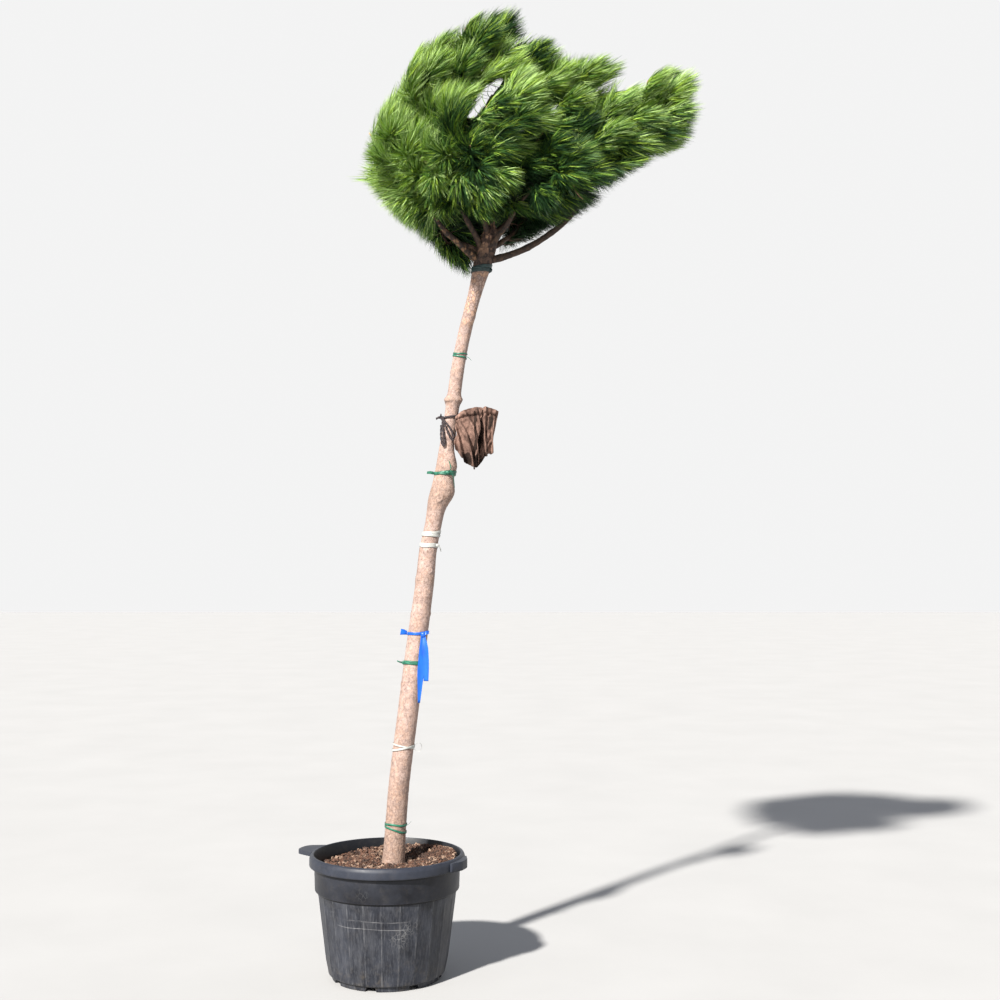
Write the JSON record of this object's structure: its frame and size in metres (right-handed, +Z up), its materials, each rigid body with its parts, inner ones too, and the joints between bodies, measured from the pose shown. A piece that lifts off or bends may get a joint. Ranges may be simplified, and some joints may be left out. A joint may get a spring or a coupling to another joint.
{
  "type": "italian stone pine",
  "caption": "Potted Italian stone pine: a long bare leaning stem out of a round nursery pot, with spreading boughs and a windswept crown of long needles.",
  "frame": {"origin": "centre of the pot's flat underside, on the surface that the plant stands on", "axes": "+Z up, +X the way the stem leans, -Y the front"},
  "size_m": [1.576, 1.0261, 3.7757],
  "materials": {
    "pot": "weathered satin",
    "soil": "loose bark chips",
    "bark": "flaky bark",
    "bough_bark": "scaly bark",
    "tie_green": "tie tape",
    "tie_white": "tie tape",
    "twine": "twisted twine",
    "ribbon_blue": "plastic ribbon",
    "cloth": "weathered woven rag",
    "needles": "waxy needles"
  },
  "bodies": {
    "root": {"pot": "pot", "soil": "soil", "trunk": "bark", "bough_right": "bough_bark", "bough_left": "bough_bark", "bough_left_centre": "bough_bark", "bough_right_centre": "bough_bark", "bough_low_left": "bough_bark", "bough_low_right": "bough_bark", "bough_front": "bough_bark", "bough_front_upper": "bough_bark", "bough_back_left": "bough_bark", "bough_back_right": "bough_bark", "bough_back": "bough_bark", "bough_top_left": "bough_bark", "bough_top": "bough_bark", "bough_upper_right": "bough_bark", "bough_back_top": "bough_bark", "tie_green_upper": "tie_green", "twine_band": "twine", "tie_green_middle": "tie_green", "tie_white_upper": "tie_white", "tie_white_lower": "tie_white", "tie_green_foot": "tie_green", "ribbon_blue": "ribbon_blue", "cloth": "cloth", "foliage_right": "needles", "foliage_left": "needles", "foliage_left_centre": "needles", "foliage_right_centre": "needles", "foliage_low_left": "needles", "foliage_low_right": "needles", "foliage_front": "needles", "foliage_front_upper": "needles", "foliage_back_left": "needles", "foliage_back_right": "needles", "foliage_back": "needles", "foliage_top_left": "needles", "foliage_top": "needles", "foliage_upper_right": "needles", "foliage_back_top": "needles", "foliage_upper_centre": "needles"}
  },
  "joints": []
}
